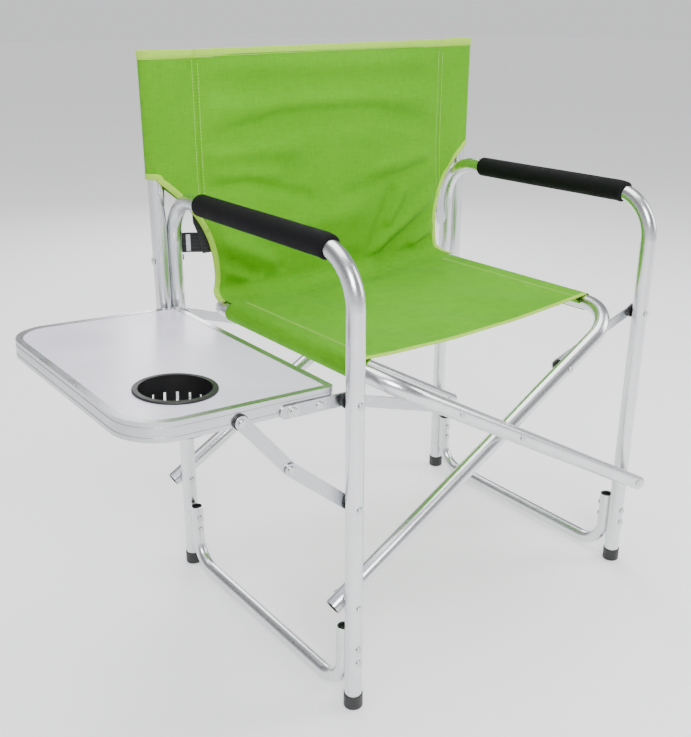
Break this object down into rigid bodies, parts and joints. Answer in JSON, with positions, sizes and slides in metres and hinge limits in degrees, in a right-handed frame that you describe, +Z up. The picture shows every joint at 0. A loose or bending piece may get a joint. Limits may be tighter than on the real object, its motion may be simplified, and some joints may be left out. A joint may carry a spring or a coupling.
{
  "type": "folding director chair with side table",
  "caption": "Folding director chair with bent tube side frames, crossing braces, green cloth seat and back, padded armrests and a fold-down side table with a cup holder.",
  "frame": {"origin": "centre of the whole outline in plan, on the floor", "axes": "+Z up, the sitter faces -Y, +X to the sitter's left; the side table is on the -X side"},
  "size_m": [0.8375, 0.476, 0.783],
  "materials": {
    "satin_tube": "satin anodised tube with faint lengthwise brushing",
    "rivet_metal": "plated rivet, semi-bright",
    "flat_bar": "flat zinc-plated bar, satin",
    "black_plastic": "fine-textured moulded plastic",
    "grip_foam": "closed-cell foam, matt and slightly pitted",
    "green_cloth": "plain-woven polyester with yellow-green bound edges and double stitching",
    "black_webbing": "woven webbing",
    "table_laminate": "smooth pale laminate over fibre board, semi-gloss",
    "edge_rail": "extruded rail with long grooves, satin",
    "cup_plastic": "moulded plastic, satin"
  },
  "bodies": {
    "left_frame": {"left_side_tube": "satin_tube", "left_stretcher": "satin_tube", "left_stretcher_plugs": "black_plastic", "left_stretcher_rivets": "rivet_metal", "left_back_post": "satin_tube", "left_post_plugs": "black_plastic", "left_post_rivets": "rivet_metal", "left_armrest_foam": "grip_foam", "left_foot_caps": "black_plastic", "left_brace_rivets": "rivet_metal", "left_link_rivets": "rivet_metal", "left_link_spacers": "black_plastic", "table_pivot_spacer": "black_plastic", "stay_leg_rivets": "rivet_metal", "stay_leg_spacers": "black_plastic", "back_fabric": "green_cloth", "lumbar_strap": "black_webbing", "strap_clip": "flat_bar"},
    "right_frame": {"right_side_tube": "satin_tube", "right_stretcher": "satin_tube", "right_stretcher_plugs": "black_plastic", "right_stretcher_rivets": "rivet_metal", "right_back_post": "satin_tube", "right_post_plugs": "black_plastic", "right_post_rivets": "rivet_metal", "right_armrest_foam": "grip_foam", "right_foot_caps": "black_plastic", "right_brace_rivets": "rivet_metal", "right_link_rivets": "rivet_metal", "right_link_spacers": "black_plastic", "strap_tongue": "flat_bar"},
    "brace_a": {"brace_a_tube": "satin_tube", "brace_a_plugs": "black_plastic", "crossing_rivets": "rivet_metal", "right_brace_studs": "rivet_metal", "right_brace_spacers": "black_plastic"},
    "brace_b": {"brace_b_tube": "satin_tube", "brace_b_plugs": "black_plastic", "left_brace_studs": "rivet_metal", "left_brace_spacers": "black_plastic", "seat_fabric": "green_cloth"},
    "left_link_pair": {"left_links": "flat_bar", "left_link_studs": "rivet_metal"},
    "right_link_pair": {"right_links": "flat_bar", "right_link_studs": "rivet_metal"},
    "table": {"table_board": "table_laminate", "table_edge_rail": "edge_rail", "cup_holder": "cup_plastic", "table_brackets": "flat_bar", "table_bracket_rivets": "rivet_metal", "stay_table_rivets": "rivet_metal", "stay_washers": "black_plastic"},
    "stay_upper": {"stay_upper_bars": "flat_bar", "knee_inner_studs": "rivet_metal"},
    "stay_lower": {"stay_lower_bars": "flat_bar", "knee_outer_studs": "rivet_metal"}
  },
  "joints": [
    {"name": "fold", "type": "hinge", "parent": "left_frame", "child": "brace_a", "pos_m": [-0.16084, -0.01455, 0.149], "axis": [0, -1, 0], "range_deg": [0, 45.7], "deforming": ["seat_fabric", "back_fabric", "lumbar_strap", "strap_tongue"]},
    {"name": "crossing", "type": "hinge", "parent": "brace_a", "child": "brace_b", "pos_m": [0.11116, -0.01455, 0.30164], "axis": [0, -1, 0], "range_deg": [-91.41, 0]},
    {"name": "right_pivot", "type": "hinge", "parent": "brace_b", "child": "right_frame", "pos_m": [0.38316, -0.01455, 0.149], "axis": [0, -1, 0], "range_deg": [0, 45.71]},
    {"name": "left_link_turn", "type": "hinge", "parent": "left_frame", "child": "left_link_pair", "pos_m": [-0.16084, -0.01455, 0.41563], "axis": [0, -1, 0], "range_deg": [0, 91.22]},
    {"name": "right_link_turn", "type": "hinge", "parent": "right_frame", "child": "right_link_pair", "pos_m": [0.38316, -0.01455, 0.41563], "axis": [0, -1, 0], "range_deg": [-91.22, 0]},
    {"name": "table_fold", "type": "hinge", "parent": "left_frame", "child": "table", "pos_m": [-0.16084, -0.01455, 0.41563], "axis": [0, -1, 0], "range_deg": [0, 84]},
    {"name": "stay_lower_turn", "type": "hinge", "parent": "left_frame", "child": "stay_lower", "pos_m": [-0.16084, -0.01455, 0.2845], "axis": [0, -1, 0], "range_deg": [0, 108.69]},
    {"name": "stay_upper_turn", "type": "hinge", "parent": "table", "child": "stay_upper", "pos_m": [-0.29814, -0.01455, 0.42311], "axis": [0, -1, 0], "range_deg": [-134.12, 0]}
  ],
  "couplings": [
    {"joint": "crossing", "follows": "fold", "ratio": -2},
    {"joint": "right_pivot", "follows": "fold", "ratio": 1},
    {"joint": "left_link_turn", "follows": "fold", "ratio": 1.9958},
    {"joint": "right_link_turn", "follows": "fold", "ratio": -1.9958},
    {"joint": "stay_lower_turn", "follows": "table_fold", "ratio": 1.2937},
    {"joint": "stay_upper_turn", "follows": "table_fold", "ratio": -1.5965}
  ]
}
